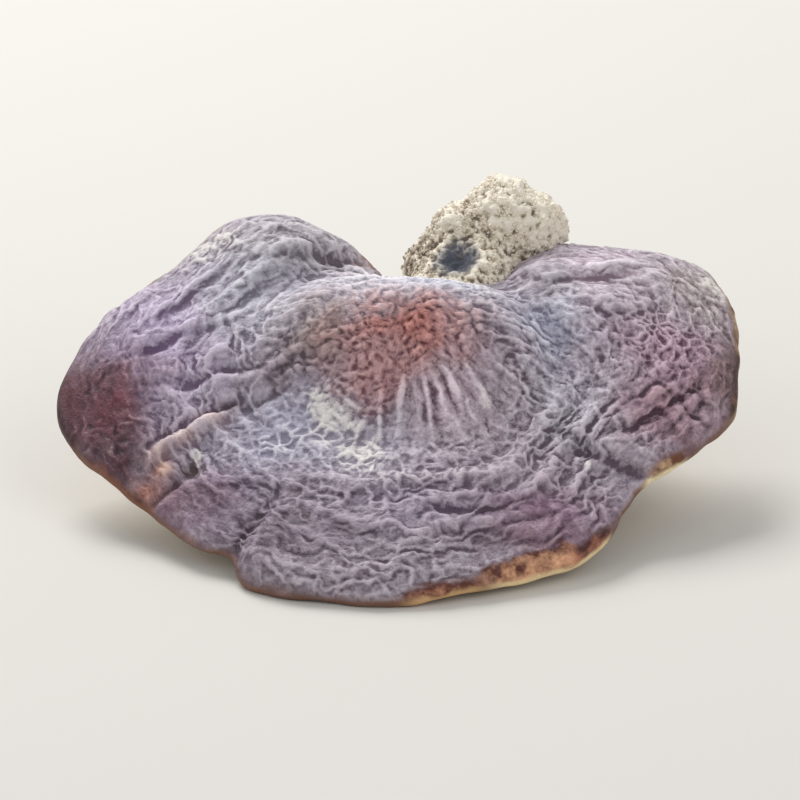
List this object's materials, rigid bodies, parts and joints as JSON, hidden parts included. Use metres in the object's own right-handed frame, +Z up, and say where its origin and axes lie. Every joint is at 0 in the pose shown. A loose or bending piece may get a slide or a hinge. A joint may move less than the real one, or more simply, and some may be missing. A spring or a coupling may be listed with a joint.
{
  "type": "dried reishi mushroom",
  "caption": "Dried kidney-shaped bracket mushroom with a ringed, folded crust on a short lumpy side stem, resting on its flat cut foot and its front rim.",
  "frame": {"origin": "centre of the stem's flat cut foot, on the surface that the mushroom rests on", "axes": "+Z up, off the cut foot; the cap leans towards -Y with its rounded front rim on z = 0; +X to the right of someone who faces the crust"},
  "size_m": [0.1435, 0.0989, 0.06],
  "materials": {
    "cap_crust": "dry leathery purple-brown crust, dull sheen, grey-blue bloom, cream rim",
    "stem_bark": "pale crumbly knee over dark red-brown bark, matt, corky cut foot"
  },
  "bodies": {
    "root": {"cap": "cap_crust", "stem": "stem_bark"}
  },
  "joints": []
}
